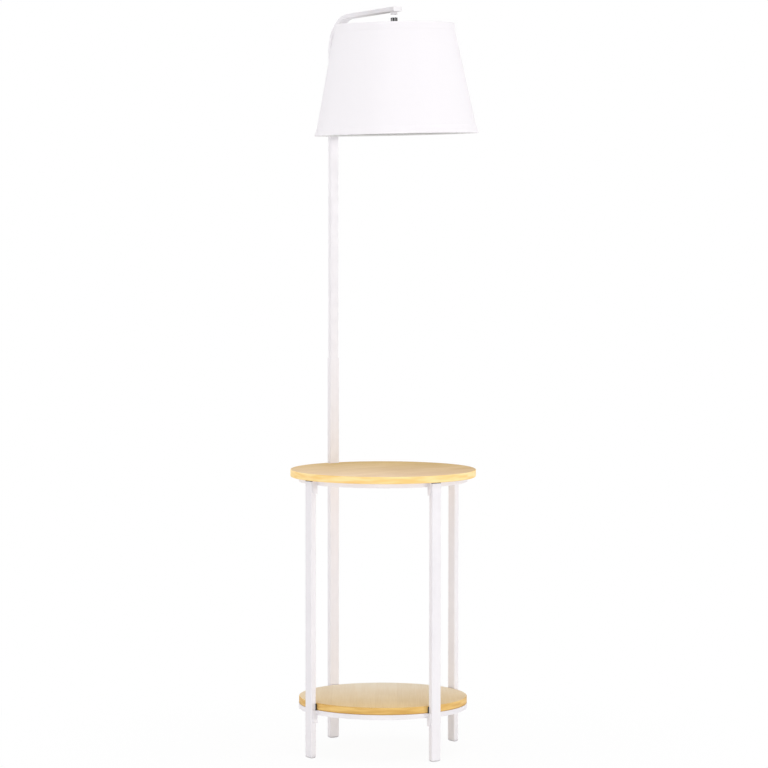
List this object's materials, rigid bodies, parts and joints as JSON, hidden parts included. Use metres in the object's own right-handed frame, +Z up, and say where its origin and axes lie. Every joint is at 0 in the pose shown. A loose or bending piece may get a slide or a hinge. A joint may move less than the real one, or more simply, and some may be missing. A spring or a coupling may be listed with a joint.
{
  "type": "floor lamp with side table",
  "caption": "Floor lamp whose pole is a leg of a round side table with a shelf; the pole bends over as an arm that hangs a tapered drum shade on a ball swivel.",
  "frame": {"origin": "on the floor, at the middle of the foot under the pole", "axes": "+Z up; +X along the arm, from the pole over the table's middle; the table's axis stands at x = 0.185"},
  "size_m": [0.4069, 0.391, 1.5641],
  "materials": {
    "board_wood": "satin varnish",
    "white_paint": "satin powder coat",
    "white_plastic": "moulded",
    "black_plastic": "moulded",
    "zinc_steel": "zinc plated",
    "white_wire": "gloss coat",
    "ceramic": "glazed",
    "shell_brass": "plain",
    "cloth": "woven linen look on a stiff backing"
  },
  "bodies": {
    "stand": {"table_board": "board_wood", "shelf_board": "board_wood", "upper_ring": "white_paint", "lower_ring": "white_paint", "leg_left": "white_paint", "leg_front": "white_paint", "leg_right": "white_paint", "pole_lower": "white_paint", "pole_upper": "white_paint", "foot_pole": "white_plastic", "foot_left": "white_plastic", "foot_front": "white_plastic", "foot_right": "white_plastic", "leg_stoppers": "black_plastic", "shelf_pads": "black_plastic", "upper_bolts": "zinc_steel", "lower_bolts": "zinc_steel", "rivet_nuts": "zinc_steel", "table_screws": "zinc_steel", "shelf_screws": "zinc_steel", "pole_screws": "zinc_steel", "cord_inlet": "white_plastic", "arm_plug": "white_plastic", "swivel_socket": "white_paint"},
    "swivel": {"ball_stem": "zinc_steel", "stem_collar": "zinc_steel", "stem_nut": "zinc_steel"},
    "shade_head": {"holder_cap": "black_plastic", "holder_body": "black_plastic", "holder_core": "ceramic", "screw_shell": "shell_brass", "centre_contact": "shell_brass", "shade_nut_ring": "black_plastic", "shade_spider": "white_wire", "bottom_wire": "white_wire", "shade_cloth": "cloth", "top_hem": "cloth", "bottom_hem": "cloth"}
  },
  "joints": [
    {"name": "shade_tilt", "type": "hinge", "parent": "stand", "child": "swivel", "pos_m": [0.222, 0, 1.553], "axis": [0, 1, 0], "range_deg": [-7, 7]},
    {"name": "shade_turn", "type": "hinge", "parent": "swivel", "child": "shade_head", "pos_m": [0.222, 0, 1.553], "axis": [-0.0132, -0.0185, 0.9997], "range_deg": [-170, 170]}
  ]
}
